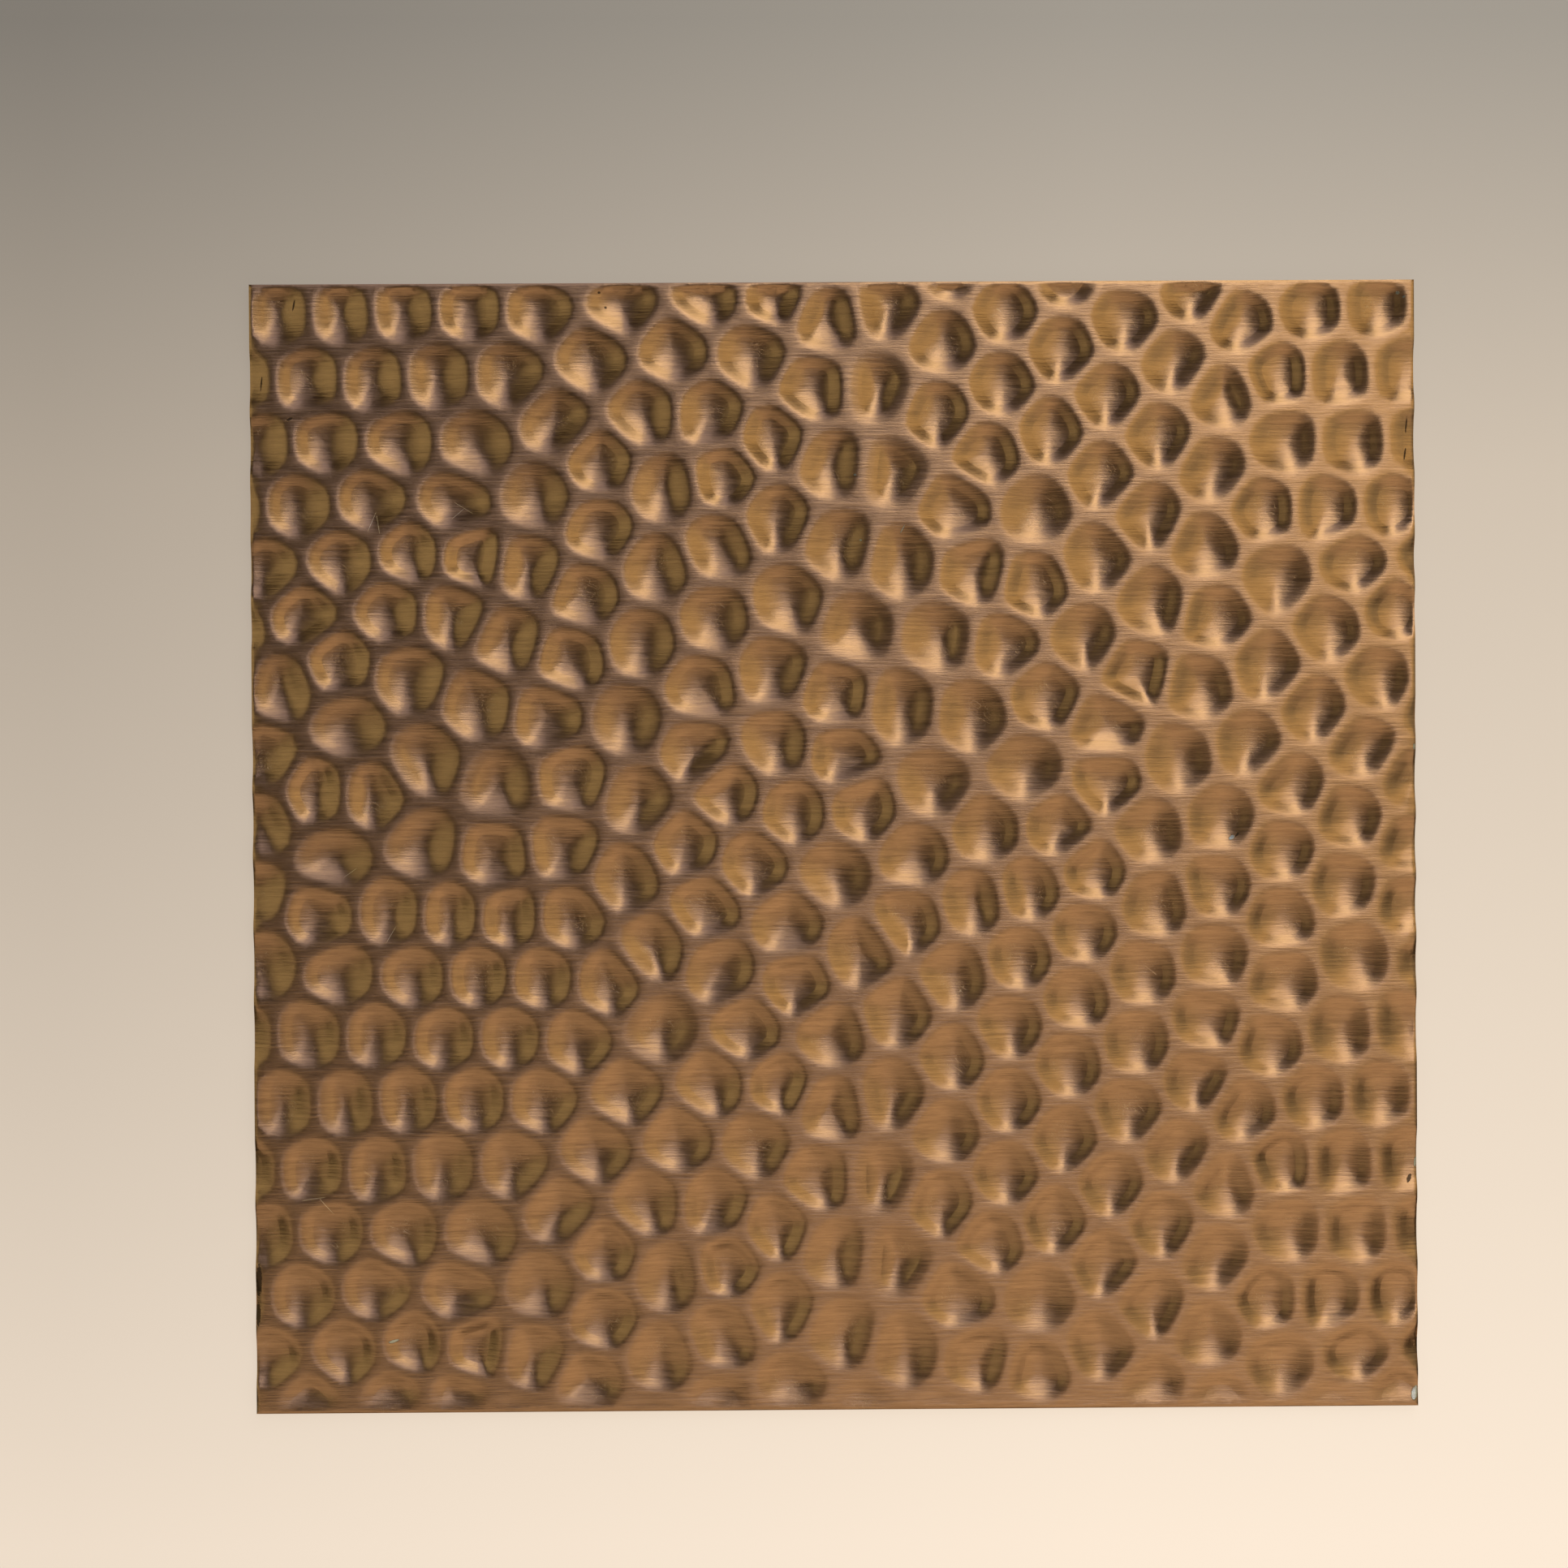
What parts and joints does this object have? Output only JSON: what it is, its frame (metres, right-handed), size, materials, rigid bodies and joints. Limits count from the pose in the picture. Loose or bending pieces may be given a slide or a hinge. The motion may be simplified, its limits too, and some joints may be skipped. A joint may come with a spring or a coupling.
{
  "type": "embossed metal sheet",
  "caption": "Rectangular stainless steel sheet with a bronze coating, a brushed grain and an embossed hammered honeycomb, for cladding and trim.",
  "frame": {"origin": "centre of the sheet's outline, level with the undersides of the pressed pockets it rests on", "axes": "+Z out of the decorative front face, +X to the right along the brushed grain, +Y up the sheet as the picture shows it"},
  "size_m": [0.15, 0.1454, 0.0017],
  "materials": {
    "coated_steel": "bronze coating over a brushed grain, satin"
  },
  "bodies": {
    "root": {"embossed_sheet": "coated_steel"}
  },
  "joints": []
}
